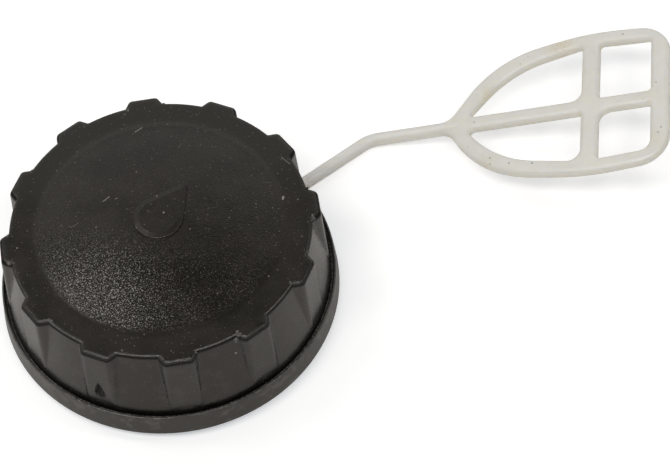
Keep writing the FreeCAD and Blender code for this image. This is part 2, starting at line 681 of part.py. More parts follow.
pipe.Profile = section
pipe.Spine = (path, [])
doc.recompute()

# Tether: the strap's bend at the kink, up and to one side, and its straight stem beyond
kink = "placement(vector(Sizes.kink_x; Sizes.kink_y; Sizes.strap_level); rotation("
elbow = doc.addObject("Part::Torus", "TetherElbow")
bind(elbow, "Radius1", "kink_bend")
bind(elbow, "Radius2", "strap_radius")
bind(elbow, "Angle3", "bend_angle")
elbow.setExpression("Placement", kink + "Sizes.strap_azimuth; 0; Sizes.bend_roll)) * placement("
                    "vector(-Sizes.bend_trim; Sizes.kink_bend; 0); rotation(-90; 0; 0))")
stem = doc.addObject("Part::Cylinder", "TetherStem")
bind(stem, "Radius", "strap_radius")
bind(stem, "Height", "stem_length")
nose = doc.addObject("Part::Sphere", "TetherNose")
bind(nose, "Radius", "strap_radius")
for thing, reach in ((stem, "bend_trim"), (nose, "nose_reach")):
    thing.setExpression("Placement", kink + "Sizes.leaf_azimuth; -Sizes.leaf_pitch; 0)) * placement("
                        "vector(Sizes." + reach + "; 0; 0); rotation(0; 90; 0))")

# Tether: the leaf with its four windows
leaf = newBody("TetherLeaf")
leaf.setExpression("Placement", "placement(vector(Sizes.kink_x; Sizes.kink_y; Sizes.strap_level);"
                   " rotation(Sizes.leaf_azimuth; -Sizes.leaf_pitch; 0))")
leafSketch = newSketch(leaf, "LeafOutline", "XY_Plane")
for corners in [leafOutline] + windowOutlines:
    loop(leafSketch, [corner[:2] for corner in corners])
leafPad = leaf.newObject("PartDesign::Pad", "LeafPlate")
leafPad.Profile = leafSketch
bind(leafPad, "Length", "leaf_thickness")
leafPad.Midplane = True
doc.recompute()


def standing(shape, spots):
    # the upright edges at these spots of the outline
    found = []
    for index, edge in enumerate(shape.Edges):
        a, b = edge.Vertexes[0].Point, edge.Vertexes[-1].Point
        for spot in spots:
            away = [math.hypot(p.x - spot.x, p.y - spot.y) for p in (a, b)]
            if max(away) < nearly < abs(a.z - b.z):
                found.append("Edge%d" % (index + 1))
    return found


leafShape = leafPad
for radius in shares:
    spots = [point(*corner[:2]) for corners in [leafOutline] + windowOutlines
             for corner in corners if corner[2] == radius]
    name = "Leaf" + radius.title().replace("_", "")
    leafShape = fillet(leaf, name, leafShape, standing(leafShape.Shape, spots), radius + "_used")
flats = []
for index, face in enumerate(leafShape.Shape.Faces):
    away = abs(abs(face.CenterOfMass.z) - size("leaf_thickness") / 2)
    if max(away, face.BoundBox.ZLength) < nearly:
        flats.append("Face%d" % (index + 1))
fillet(leaf, "LeafRounded", leafShape, flats, "leaf_round_used")

tether = doc.addObject("Part::MultiFuse", "tether")
tether.Shapes = [eye, strap, elbow, stem, nose, leaf]
tether.Refine = True

doc.recompute()
for thing in doc.Objects:
    if "Invalid" in thing.State or "Error" in thing.State:
        raise RuntimeError("%s failed: %s" % (thing.Name, thing.State))
for node in (cap, gasket, tether):
    if node.Shape.isNull() or not node.Shape.isValid():
        raise RuntimeError("%s has no valid shape" % node.Label)
    node.Shape.exportStep("parts/%s.step" % node.Label)
    print(node.Label, len(node.Shape.Solids), "solid, volume %.1f" % node.Shape.Volume)
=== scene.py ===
import bmesh
import bpy
import math
from mathutils import Matrix, Vector


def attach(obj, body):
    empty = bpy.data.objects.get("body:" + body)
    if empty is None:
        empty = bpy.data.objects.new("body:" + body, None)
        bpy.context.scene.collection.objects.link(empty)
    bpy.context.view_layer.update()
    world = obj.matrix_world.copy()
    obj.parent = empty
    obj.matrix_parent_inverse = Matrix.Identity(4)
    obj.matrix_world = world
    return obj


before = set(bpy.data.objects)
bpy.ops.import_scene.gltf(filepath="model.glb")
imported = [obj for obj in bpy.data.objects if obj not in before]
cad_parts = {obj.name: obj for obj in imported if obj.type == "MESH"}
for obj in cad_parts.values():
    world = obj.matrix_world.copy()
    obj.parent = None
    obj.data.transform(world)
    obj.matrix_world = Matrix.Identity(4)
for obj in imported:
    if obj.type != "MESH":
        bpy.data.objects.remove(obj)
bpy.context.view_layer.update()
scene = bpy.context.scene
scene.view_settings.view_transform = "Standard"
print("frame loaded:", ", ".join(sorted(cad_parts)))


class Wire:
    # a socket with arithmetic, and one way to add any other node
    def __init__(self, tree, socket=None):
        self.tree = tree
        self.socket = socket

    def node(self, kind, settings=None, inputs=None, output=0):
        made = self.tree.nodes.new(kind)
        for name, value in (settings or {}).items():
            setattr(made, name, value)
        for name, value in (inputs or {}).items():
            if isinstance(value, Wire):
                self.tree.links.new(value.socket, made.inputs[name])
            else:
                made.inputs[name].default_value = value
        return Wire(self.tree, made.outputs[output] if made.outputs else None)

    def other(self, output):
        # another output of the same node
        return Wire(self.tree, self.socket.node.outputs[output])

    def maths(self, operation, *values):
        return self.node("ShaderNodeMath", {"operation": operation}, dict(enumerate(values)))

    def __add__(self, other):
        return self.maths("ADD", self, other)

    def __radd__(self, other):
        return self.maths("ADD", other, self)

    def __sub__(self, other):
        return self.maths("SUBTRACT", self, other)

    def __rsub__(self, other):
        return self.maths("SUBTRACT", other, self)

    def __mul__(self, other):
        return self.maths("MULTIPLY", self, other)

    def __rmul__(self, other):
        return self.maths("MULTIPLY", other, self)

    def __truediv__(self, other):
        return self.maths("DIVIDE", self, other)

    def __rtruediv__(self, other):
        return self.maths("DIVIDE", other, self)

    def __pow__(self, other):
        return self.maths("POWER", self, other)

    def __abs__(self):
        return self.maths("ABSOLUTE", self)

    def atMost(self, other):
        return self.maths("MINIMUM", self, other)

    def atLeast(self, other):
        return self.maths("MAXIMUM", self, other)

    def ramp(self, low, high, start=0.0, end=1.0):
        # smooth step from start at low to end at high
        return self.node("ShaderNodeMapRange", {"interpolation_type": "SMOOTHSTEP"},
                         {0: self, 1: low, 2: high, 3: start, 4: end})

    def between(self, rise, fall):
        # 1 between two edges, each given by where it starts and where it is full
        return self.ramp(*rise) * self.ramp(*fall)

    def vector(self, operation, other, output=0):
        return self.node("ShaderNodeVectorMath", {"operation": operation},
                         {0: self, 1: other}, output)

    def scaled(self, share):
        return self.node("ShaderNodeVectorMath", {"operation": "SCALE"}, {0: self, "Scale": share})

    def noise(self, scale, detail, roughness, output=0):
        return self.node("ShaderNodeTexNoise", None, {
            "Vector": self, "Scale": scale, "Detail": detail, "Roughness": roughness}, output)

    def mixed(self, factor, colour):
        return self.node("ShaderNodeMix", {"data_type": "RGBA"},
                         {0: factor, 6: self, 7: rgba(colour)}, 2)

    def split(self):
        x = self.node("ShaderNodeSeparateXYZ", None, {0: self})
        return x, x.other(1), x.other(2)


def rgba(colour):
    return (*colour, 1.0)


def newMaterial(name):
    # a material with an empty tree, and the place on the piece in mm
    material = bpy.data.materials.new(name)
    material.use_nodes = True
    material.node_tree.nodes.clear()
    start = Wire(material.node_tree)
    return material, start, start.node("ShaderNodeTexCoord", output=3).scaled(1000.0)


def blend(start, factor, first, second):
    return start.node("ShaderNodeMix", {"data_type": "RGBA"},
                      {0: factor, 6: rgba(first), 7: rgba(second)}, 2)


# a dark surface, mixed in for the torn pits and as painted shade
pitsAndShadeSurface = {"Base Color": (0.004, 0.004, 0.003, 1), "Roughness": 0.9, "Specular IOR Level": 0.1}


def finish(start, height, values, pitsAndShade=None, corner=None):
    # height and the soft corner's radius are in mm, and the dark mix covers torn pits and painted
    # shade
    sockets = {"Strength": 1.0, "Distance": 0.001, "Height": height}
    if corner is not None:
        sockets["Normal"] = start.node("ShaderNodeBevel", {"samples": 6}, {"Radius": corner / 1000})
    bump = start.node("ShaderNodeBump", None, sockets)
    shader = start.node("ShaderNodeBsdfPrincipled", None, {**values, "Normal": bump})
    if pitsAndShade is not None:
        dark = start.node("ShaderNodeBsdfPrincipled", None, pitsAndShadeSurface)
        shader = start.node("ShaderNodeMixShader", None, {0: pitsAndShade, 1: shader, 2: dark})
    start.node("ShaderNodeOutputMaterial", None, {"Surface": shader})


cameraView = {
    "place": (0.022905, -0.194274, 0.303117),
    "elevation": 56.489,       # degrees above the horizon
    "roll": 5.228,
    "focal": 2636.85 / 670,    # focal length over image width
    "sensor": 36.0,
    "clip": (0.01, 20),
}


def makeCamera(view):
    data = bpy.data.cameras.new("camera")
    data.sensor_width = view["sensor"]
    data.lens = view["focal"] * view["sensor"]
    data.clip_start, data.clip_end = view["clip"]
    made = bpy.data.objects.new("camera", data)
    scene.collection.objects.link(made)
    tilt = Matrix.Rotation(math.radians(90 - view["elevation"]), 4, "X")
    roll = Matrix.Rotation(math.radians(-view["roll"]), 4, "Z")
    made.matrix_world = Matrix.Translation(view["place"]) @ tilt @ roll
    scene.camera = made


makeCamera(cameraView)


studio = {
    "floorLevel": -0.00217,
    "floorRadius": 2.0,
    "floorColour": (0.80, 0.775, 0.735),
    "floorGlow": 0.50,                    # for the camera, so that the floor is white
    "floorTint": (0.93, 0.96, 1.0),       # of that glow, against the floor's warm colour
    "floorMirrored": 0.10,                # the same in reflections
    "roomLight": 0.09,
    "backdropLight": 0.58,                # bright wall behind the object, added to the room
    "backdropTop": (0.830, 0.785),        # sine of the height where it ends, and where it is full
    "backdropFoot": (0.40, 0.74, 0.78),   # dimmer below, by this share
    "backdropSide": (0.25, 0.60),         # cosine of its azimuth from +Y
    "lamps": {
        "softbox": {"place": (-0.278, 0.095, 0.523), "size": 0.17, "power": 0.35},
        "keyLight": {"place": (-0.060, -0.255, 0.590), "size": 0.60, "height": 0.10,
                     "power": 2.25},
        "edgeLight": {"place": (0.360, -0.090, 0.500), "size": 0.12, "power": 0.22},
    },
}


def seenRays(start):
    # the light path, and 1 where the camera looks straight or through glass
    rays = start.node("ShaderNodeLightPath")
    return rays, (rays.other("Is Camera Ray") + rays.other("Is Transmission Ray")).atMost(1.0)


def makeFloor(room):
    mesh = bpy.data.meshes.new("floor")
    grid = bmesh.new()
    bmesh.ops.create_circle(grid, cap_ends=True, segments=64, radius=room["floorRadius"])
    bmesh.ops.translate(grid, verts=grid.verts, vec=(0, 0, room["floorLevel"]))
    grid.to_mesh(mesh)
    grid.free()
    floor = bpy.data.objects.new("floor", mesh)
    scene.collection.objects.link(floor)
    material, start, place = newMaterial("pale_floor")
    rays, seen = seenRays(start)
    glow = seen * room["floorGlow"] + rays.other("Is Glossy Ray") * room["floorMirrored"]
    tint = blend(start, seen, (1, 1, 1), room["floorTint"])
    matt = start.node("ShaderNodeBsdfDiffuse", None, {"Color": rgba(room["floorColour"])})
    light = start.node("ShaderNodeEmission", None, {"Color": tint, "Strength": glow})
    both = start.node("ShaderNodeAddShader", None, {0: matt, 1: light})
    start.node("ShaderNodeOutputMaterial", None, {"Surface": both})
    mesh.materials.append(material)


def makeRoom(room):
    world = bpy.data.worlds.new("room")
    scene.world = world
    world.use_nodes = True
    world.node_tree.nodes.clear()
    start = Wire(world.node_tree)
    rays, seen = seenRays(start)
    x, y, z = start.node("ShaderNodeTexCoord").split()
    behind = y / ((x * x + y * y) ** 0.5 + 0.001)
    low, high, share = room["backdropFoot"]
    backdrop = z.ramp(*room["backdropTop"]) * behind.ramp(*room["backdropSide"])
    backdrop = backdrop * z.ramp(low, high, share, 1.0)
    sky = backdrop * room["backdropLight"] + room["roomLight"]
    level = seen + (1 - seen) * sky
    shader = start.node("ShaderNodeBackground", None, {"Color": (1, 1, 1, 1), "Strength": level})
    start.node("ShaderNodeOutputWorld", None, {"Surface": shader})


def makeLamps(lamps):
    for name, lamp in lamps.items():
        data = bpy.data.lights.new(name, "AREA")
        data.shape = "RECTANGLE" if "height" in lamp else "DISK"
        data.size = lamp["size"]
        data.size_y = lamp.get("height", lamp["size"])
        data.energy = lamp["power"]
        made = bpy.data.objects.new(name, data)
        scene.collection.objects.link(made)
        away = Vector(lamp["place"])
        turn = away.to_track_quat("Z", "Y").to_matrix().to_4x4()
        made.matrix_world = Matrix.Translation(away) @ turn


makeFloor(studio)
makeRoom(studio)
makeLamps(studio["lamps"])
print("camera and studio made")


def spots(place, marks, soft=0.6):
    # round marks at given places, each with its radius in mm and its strength
    total = None
    for centre, radius, strength in marks:
        mark = place.vector("DISTANCE", centre, 1).ramp(radius, radius * soft, 0.0, strength)
        total = mark if total is None else total.atLeast(mark)
    return total


def strokes(place, marks, soft=0.4):
    # thin marks on the top, from one place to another, each with its half width and strength
    x, y, z = place.split()
    total = None
    for (x1, y1), (x2, y2), half, strength in marks:
        length = math.hypot(x2 - x1, y2 - y1)
        ux, uy = (x2 - x1) / length, (y2 - y1) / length
        along = x * ux + y * uy - (x1 * ux + y1 * uy)
        across = abs(y * ux - x * uy - (y1 * ux - x1 * uy))
        ends = abs(along - length / 2).ramp(length / 2 + half, length / 2 - half)
        mark = across.ramp(half, half * soft, 0.0, strength) * ends
        total = mark if total is None else total.atLeast(mark)
    return total


def specks(place, scale, share, radius, soft=0.5):
    # scattered specks in a share of the cells, 0.5 to 1.2 times the radius and of mixed strength
    cell = place.node("ShaderNodeTexVoronoi", None, {"Vector": place, "Scale": scale})
    lottery = cell.node("ShaderNodeSeparateColor", None, {0: cell.other("Color")})
    picked = lottery.maths("GREATER_THAN", lottery, 1 - share)
    size = lottery.other(1) * 0.7 + 0.5
    strength = lottery.other(2) * 0.75 + 0.25
    reach = radius * scale
    return (cell / size).ramp(reach, reach * soft) * picked * strength


capFinish = {
    "roughness": 0.235,
    "sheen": (1.0, 0.95, 0.89),
    "crisp": 0.10,             # mm, radius by which the shading rounds all corners
    "softened": 0.45,          # mm, more of it on the wall and the lugs
    "glintPlace": (-8.5, -11.5, 15.8),     # painted highlight: the grain's tips are lit most around here
    "colours": {
        "dark": (0.0042, 0.0031, 0.0012),
        "pale": (0.0185, 0.0160, 0.0118),
        "wall": (0.0075, 0.0062, 0.0048),
        "wallPatch": (0.0210, 0.0190, 0.0160),
        "wallSidesReflection": (0.0380, 0.0355, 0.0310),
        "farRingReflection": (0.0235, 0.0215, 0.0175),
        "grainGlint": (0.280, 0.268, 0.242),
        "flange": (0.0240, 0.0220, 0.0185),
        "flangePatch": (0.075, 0.071, 0.063),
        # pale grit in the groove, and the colour of the painted highlights on edges
        "gritAndHighlight": (0.130, 0.125, 0.114),
        "groove": (0.0055, 0.0050, 0.0042),
        "gouge": (0.060, 0.056, 0.050),
        "dust": (0.34, 0.32, 0.28),
    },
    "measures": {              # of the solid in mm, and the drop's turn in degrees
        "flangeLevel": 3.6,
        "topLevel": 15.0,
        "domeEdge": 16.3,
        "dropRadius": 3.32,
        "dropReach": 6.7,
        "dropTurn": 52.3,
        "frontLean": 0.3,      # turns the front towards the left
    },
    "fades": {                 # where each starts and where it is full, in mm
        "top": (-0.5, -0.1),              # over the top's level
        "brow": ((-0.9, -0.5), (0.02, -0.03)),
        "under": ((-0.95, -0.40), (-0.07, -0.18)),
        "rim": ((-0.5, -0.3), (0.1, 0.03)),
        "softTop": (0.3, 0.1),
        "softFoot": (0.2, 0.8),           # over the flange's level
        "flange": (0.02, -0.25),
        "groove": (0.05, -0.1),
        "flangeEdgeHighlight": (-0.25, -0.05),
        "foot": (2.0, 2.6),               # over the foot
        "dome": (0.4, -0.5),              # outside the dome's edge
        "ring": (-0.3, 0.3),
        "drop": (0.0, -0.1),              # outside the drop
        "grainOnDrop": (-0.75, 0.05, 0.12, 1.0),
        "flangeRadius": (22.3, 22.45),
        "grooveRadius": ((21.5, 21.9), (22.55, 22.40)),
        "nearGlintPlace": (13.0, 3.0),             # from where the painted highlight on the grain is strongest
        "sides": (9.0, 20.0),             # towards the left and right
        "far": (1.0, 13.0),               # towards the back
        "rimFront": (0.0, -12.0),
        "tipsFront": (0.5, -7.5),
        "shadeInGapsFront": (-1.0, -8.0),
    },
    "lines": {                 # radius of each, and how far from it the line starts and is full
        "flangeEdgeHighlight": (22.62, 0.16, 0.03),
        "grit": (22.12, 0.13, 0.04),
    },
    "rimLean": ((0.35, 0.60), (0.97, 0.86)),   # how much the rim's surface looks up
    "noises": {                # patterns per mm, detail and roughness
        "fine": (9.0, 2.0, 0.6),
        "coarse": (6.0, 1.0, 0.5),
        "dusting": (5.0, 2.0, 0.7),
        "grain": (4.6, 1.0, 0.5),
        "gritty": (3.0, 2.0, 0.6),
        "wavy": (2.2, 2.0, 0.6),
        "broken": (1.9, 3.0, 0.65),
        "patches": (0.55, 4.0, 0.6),
        "clouds": (0.22, 3.0, 0.6),
    },
    "streaks": (2.4, 3.0, 0.6),
    "streakStretch": (1.0, 1.0, 0.10),
    "cuts": {                  # level of the noise where each starts and where it is full
        "cloudy": (0.38, 0.60),
        "wallPatch": (0.48, 0.68),
        "flangePatch": (0.50, 0.66),
        "tips": (0.62, 0.70),
        "shadeInGaps": (0.49, 0.41),
        "gritAndHighlight": (0.40, 0.62),
        "grit": (0.46, 0.58),
        "rim": (0.30, 0.56),
        "dust": (0.36, 0.48),
    },
    "shares": {                # how strongly each covers what is under it
        "clouds": 0.4,
        "wall": 0.9,
        "wallSidesReflection": 0.7,
        "farRingReflection": 0.9,
        "flange": 0.9,
        "flangePatch": 0.4,
        "tipsLeast": 0.30,
        "tipsMore": 0.05,
        "shadeInGaps": 0.6,
        "under": 0.7,
        "highlightLeast": 0.35,
        "highlightMore": 0.60,
        "gritLeast": 0.30,
        "denseDust": 0.75,
        "dustOnWall": 0.40,
        "dust": 0.60,
        "marks": 0.95,
    },
    "depths": {                # height of each unevenness in mm
        "grain": 0.050,
        "fine": 0.0035,
        "streaks": 0.006,
        "patches": 0.03,
        "flange": 0.012,
        "grit": 0.02,
        "brow": 0.05,
        "marks": 0.03,
    },
    "rougher": {               # what each adds to the roughness
        "clouds": 0.07,
        "top": 0.02,
        "drop": 0.06,
        "flange": 0.08,
        "gouge": 0.6,
        "dust": 0.3,
    },
    "gouge": {                 # torn place in one lug, in mm
        "place": (-9.42, -19.30, 6.95),
        "halfWidth": 0.62,
        "halfHeight": 1.65,
        "fullness": 0.9075,    # over the width at its middle, and how fast it gets narrower
        "narrowing": 0.45,
        "edge": (1.0, 0.75),
        "reach": (2.2, 1.9),
        "ripples": (2.8, 3.0, 0.7),
        "ragged": 0.45,
        "pits": (5.5, 2.0, 0.6),
        "pitCut": (0.58, 0.50),
        "depth": 0.30,
        "rippleDepth": 0.25,
    },
    "dust": (                  # specks per mm, share of them and radius in mm
        (0.85, 0.6, 0.13),
        (1.9, 0.8, 0.095),
    ),
    "specks": (                # bright ones seen on top and on the wall
        ((0.76, 0.53, 17.25), 0.17, 0.7),
        ((0.93, 5.11, 16.8), 0.12, 0.5),
        ((-0.06, 3.38, 17.1), 0.14, 0.6),
        ((4.06, -2.11, 16.8), 0.13, 0.6),
        ((-4.43, -4.10, 16.7), 0.14, 0.5),
        ((-18.92, -1.44, 15.0), 0.13, 0.7),
        ((8.77, -18.58, 11.75), 0.22, 0.7),
        ((-9.39, -19.0, 9.4), 0.16, 0.35),
    ),
    "strokes": (               # lint and scratches on top, from one place to the other
        ((-2.75, 15.45), (-1.75, 16.15), 0.085, 0.8),
        ((-7.25, 3.72), (-6.35, 4.40), 0.080, 0.8),
        ((-5.60, 3.85), (-5.30, 3.95), 0.10, 0.5),
        ((16.65, 9.28), (17.75, 8.00), 0.065, 0.5),
        ((13.9, 5.3), (15.1, 5.15), 0.05, 0.25),
        ((-11.6, 0.4), (-10.6, 0.9), 0.05, 0.3),
        ((3.0, 11.7), (3.5, 12.5), 0.05, 0.3),
        ((16.40, 2.38), (16.54, 2.88), 0.17, 1.0),
    ),
}


def dropEdge(x, y, measures):
    # distance outside the raised drop's outline, in mm
    radius = measures["dropRadius"]
    turn = math.radians(measures["dropTurn"])
    lean = math.acos(radius / measures["dropReach"])
    along = x * math.cos(turn) + y * math.sin(turn)
    across = abs(y * math.cos(turn) - x * math.sin(turn))
    flank = along * math.cos(lean) + across * math.sin(lean) - radius
    rounded = (along * along + across * across) ** 0.5 - radius
    onRound = (across - along * math.tan(lean)).ramp(-0.001, 0.001)
    return flank * (1 - onRound) + rounded * onRound


def gougeMasks(place, x, y, z, g):
    # where the lug is torn, how uneven it is there, and its dark pits
    gx, gy, gz = g["place"]
    turn = math.atan2(gy, gx)
    ripple = (place.noise(*g["ripples"]) - 0.5) * 2.0
    side = (x - gx) * math.sin(turn) - (y - gy) * math.cos(turn)
    up = (z - gz) / g["halfHeight"]
    pointed = up * g["narrowing"] + g["fullness"]
    away = ((side / g["halfWidth"] * pointed) ** 2.0 + up ** 2.0) ** 0.5
    near = place.vector("DISTANCE", g["place"], 1).ramp(*g["reach"])
    gouge = (away + ripple * g["ragged"]).ramp(*g["edge"]) * near
    return gouge, ripple, gouge * place.noise(*g["pits"]).ramp(*g["pitCut"])


def circleLine(radius, measures):
    # a line all round at a radius
    middle, outside, inside = measures
    return abs(radius - middle).ramp(outside, inside)


def blackNylon(f):
    material, start, place = newMaterial("black_nylon")
    measures, fade, cut = f["measures"], f["fades"], f["cuts"]
    share, depth, rougher = f["shares"], f["depths"], f["rougher"]
    noise = {name: place.noise(*settings) for name, settings in f["noises"].items()}
    fine, broken, patches = noise["fine"], noise["broken"], noise["patches"]
    streaks = place.vector("MULTIPLY", f["streakStretch"]).noise(*f["streaks"])
    upward = start.node("ShaderNodeNewGeometry", output=1).split()[2]

    x, y, z = place.split()
    radius = (x * x + y * y) ** 0.5
    overTop = z - measures["topLevel"]
    overFlange = z - measures["flangeLevel"]
    overEdge = radius - measures["domeEdge"]
    offDrop = dropEdge(x, y, measures)
    front = y + x * measures["frontLean"]

    onTop = overTop.ramp(*fade["top"])
    offTop = 1 - onTop
    onRing = onTop * overEdge.ramp(*fade["ring"])
    onDome = onTop * overEdge.ramp(*fade["dome"])
    onFlange = overFlange.ramp(*fade["flange"]) * radius.ramp(*fade["flangeRadius"])
    inGroove = overFlange.ramp(*fade["groove"]) * radius.between(*fade["grooveRadius"])
    outside = z.ramp(*fade["foot"])

    grained = onDome * offDrop.ramp(*fade["grainOnDrop"])
    # painted highlight: pale grain tips towards the front, strongest near the left front
    nearGlintPlace = place.vector("DISTANCE", f["glintPlace"], 1).ramp(*fade["nearGlintPlace"])
    tips = (noise["coarse"] + nearGlintPlace * share["tipsMore"]).ramp(*cut["tips"])
    tips = tips * grained * front.ramp(*fade["tipsFront"])
    # painted shade: a dark surface in the gaps between the grains, towards the front
    shadeInGaps = noise["coarse"].ramp(*cut["shadeInGaps"]) * grained
    shadeInGaps = shadeInGaps * front.ramp(*fade["shadeInGapsFront"]) * share["shadeInGaps"]

    under = overTop.between(*fade["under"]) * share["under"]     # painted shade: a dark line under the top edge
    rim = upward.between(*f["rimLean"]) * overTop.between(*fade["rim"])     # painted highlight: a light line along the top edge, at the front
    rim = rim * y.ramp(*fade["rimFront"]) * fine.ramp(*cut["rim"])
    # painted highlight: a broken light line along the flange's outer edge
    edge = circleLine(radius, f["lines"]["flangeEdgeHighlight"]) * overFlange.ramp(*fade["flangeEdgeHighlight"])
    gritAndHighlight = edge * (broken.ramp(*cut["gritAndHighlight"]) * share["highlightMore"] + share["highlightLeast"])
    grit = noise["gritty"].ramp(*cut["grit"]) * (1 - share["gritLeast"]) + share["gritLeast"]
    grit = grit * circleLine(radius, f["lines"]["grit"]) * inGroove * outside
    gouge, ripple, pits = gougeMasks(place, x, y, z, f["gouge"])

    sparse, dense = (specks(place, *settings) for settings in f["dust"])
    dust = (sparse * fine.ramp(*cut["dust"])).atLeast(dense * share["denseDust"])
    dust = dust * (share["dustOnWall"] + onTop * (1 - share["dustOnWall"]))
    marks = spots(place, f["specks"]).atLeast(strokes(place, f["strokes"]) * onTop)

    cloudy = noise["clouds"] * share["clouds"] + noise["dusting"] * (1 - share["clouds"])
    leastTips = share["tipsLeast"] + nearGlintPlace * (1 - share["tipsLeast"])
    flangePatch = patches.ramp(*cut["flangePatch"]) * (share["flangePatch"] + broken)
    colours = f["colours"]
    base = blend(start, cloudy.ramp(*cut["cloudy"]), colours["dark"], colours["pale"])
    layers = (
        ("wall", offTop * share["wall"]),
        ("wallPatch", offTop * patches.ramp(*cut["wallPatch"])),
        # painted reflection: the wall is lighter towards the left and right
        ("wallSidesReflection", offTop * abs(x).ramp(*fade["sides"]) * share["wallSidesReflection"]),
        # painted reflection: the flat ring is lighter towards the back
        ("farRingReflection", onRing * y.ramp(*fade["far"]) * share["farRingReflection"]),
        ("grainGlint", tips * leastTips),
        ("flange", onFlange * share["flange"]),
        ("flangePatch", onFlange * flangePatch),
        ("groove", inGroove * outside),
        ("gritAndHighlight", grit),
        ("gritAndHighlight", gritAndHighlight.atLeast(rim)),
        ("gouge", gouge),
        ("dust", (dust * share["dust"]).atLeast(marks * share["marks"])),
    )
    for colour, mask in layers:
        base = base.mixed(mask, colours[colour])

    rough = f["roughness"] + noise["clouds"] * rougher["clouds"] + onTop * rougher["top"]
    rough = rough + offDrop.ramp(*fade["drop"]) * onTop * rougher["drop"]
    rough = rough + onFlange * rougher["flange"] + gouge * rougher["gouge"]
    rough = rough + dust.atLeast(marks) * rougher["dust"]

    height = noise["grain"] * grained * depth["grain"] + fine * depth["fine"]
    height = height + offTop * (streaks * depth["streaks"] + patches * depth["patches"])
    height = height + broken * onFlange * depth["flange"] + grit * depth["grit"]
    height = height + noise["wavy"] * overTop.between(*fade["brow"]) * depth["brow"]
    height = height + marks * depth["marks"]
    height = height - gouge * (f["gouge"]["depth"] + ripple * f["gouge"]["rippleDepth"])
    onWall = overFlange.ramp(*fade["softFoot"]) * overTop.ramp(*fade["softTop"])
    finish(start, height, {
        "Base Color": base, "Roughness": rough, "IOR": 1.53, "Specular Tint": rgba(f["sheen"])},
        pitsAndShade=pits.atLeast(shadeInGaps).atLeast(under), corner=f["crisp"] + f["softened"] * onWall)
    return material


tetherFinish = {
    "roughness": 0.22,
    "glow": {"Subsurface Weight": 0.9, "Subsurface Radius": (1.0, 0.9, 0.7),
             "Subsurface Scale": 0.0045},
    "colours": {
        "plain": (0.830, 0.785, 0.705),
        "pale": (0.855, 0.813, 0.740),
        "stain": (0.60, 0.53, 0.38),
        "grime": (0.35, 0.31, 0.25),
        "dirt": (0.10, 0.08, 0.06),
    },
    "noises": {                # patterns per mm, detail and roughness
        "clouds": (0.16, 3.0, 0.55),
        "milk": (0.55, 3.0, 0.6),
        "fine": (3.4, 3.0, 0.6),
    },
    "flow": (1.1, 2.0, 0.5),
    "flowStretch": (0.35, 1.0, 1.0),
    "cuts": {                  # level of the noise where each starts and where it is full
        "milk": (0.35, 0.70),
        "clouds": (0.58, 0.80),
        "stain": (0.30, 0.62),
        "dirt": (0.30, 0.50),
    },
    "shares": {                # how strongly each covers what is under it
        "clouds": 0.25,
        "grime": 0.30,
        "dirt": 0.75,
        "strayDirt": 0.8,
    },
    "depths": {"fine": 0.005, "flow": 0.030, "dirt": 0.02},     # mm
    "rougher": {"milk": 0.06, "stain": 0.15},
    "grime": (0.75, 0.35, 0.18, 0.2),   # specks per mm, share, radius in mm and softness
    "strayDirt": (0.9, 0.10, 0.11),
    "stainSoft": 0.1,
    "stains": (                # place and radius in mm, and strength
        ((56.7, 29.1, 7.8), 3.2, 0.6),
        ((46.2, 23.7, 4.9), 2.6, 0.55),
        ((66.3, 9.3, 11.7), 2.2, 0.35),
        ((44.5, 12.5, 5.0), 2.4, 0.3),
    ),
    "dirtSoft": 0.35,
    "dirt": (
        ((57.30, 27.23, 8.12), 0.22, 0.9),
        ((65.29, 27.95, 10.55), 0.19, 0.8),
        ((50.92, 27.71, 6.13), 0.17, 0.8),
        ((45.08, 12.95, 5.02), 0.20, 0.8),
        ((44.97, 11.94, 5.03), 0.19, 0.8),
        ((47.51, 11.25, 5.85), 0.19, 0.8),
        ((50.54, 10.22, 6.84), 0.22, 0.85),
        ((42.33, 15.82, 4.04), 0.19, 0.75),
        ((43.59, 19.82, 4.24), 0.16, 0.7),
        ((57.80, 15.93, 8.81), 0.17, 0.8),
        ((68.42, 18.18, 11.98), 0.19, 0.8),
        ((67.98, 10.46, 12.20), 0.19, 0.8),
        ((67.48, 9.77, 12.08), 0.17, 0.8),
        ((66.34, 9.30, 11.76), 0.20, 0.85),
        ((59.20, 10.03, 9.52), 0.19, 0.75),
    ),
}


def naturalNylon(f):
    material, start, place = newMaterial("natural_nylon")
    colours, cut, share, depth = f["colours"], f["cuts"], f["shares"], f["depths"]
    noise = {name: place.noise(*settings) for name, settings in f["noises"].items()}
    fine, milk = noise["fine"], noise["milk"]
    flow = place.vector("MULTIPLY", f["flowStretch"]).noise(*f["flow"])
    stain = spots(place, f["stains"], f["stainSoft"]) * fine.ramp(*cut["stain"])
    stray = specks(place, *f["strayDirt"]) * share["strayDirt"]
    dirt = spots(place, f["dirt"], f["dirtSoft"]).atLeast(stray)
    clouded = noise["clouds"].ramp(*cut["clouds"]) * share["clouds"]
    base = blend(start, milk.ramp(*cut["milk"]), colours["plain"], colours["pale"])
    base = base.mixed(stain.atLeast(clouded), colours["stain"])
    base = base.mixed(specks(place, *f["grime"]) * share["grime"], colours["grime"])
    base = base.mixed(dirt * fine.ramp(*cut["dirt"]) * share["dirt"], colours["dirt"])
    rough = f["roughness"] + milk * f["rougher"]["milk"] + stain * f["rougher"]["stain"]
    height = fine * depth["fine"] + flow * depth["flow"] + dirt * depth["dirt"]
    finish(start, height, {"Base Color": base, "Roughness": rough, "IOR": 1.53, **f["glow"]})
    return material


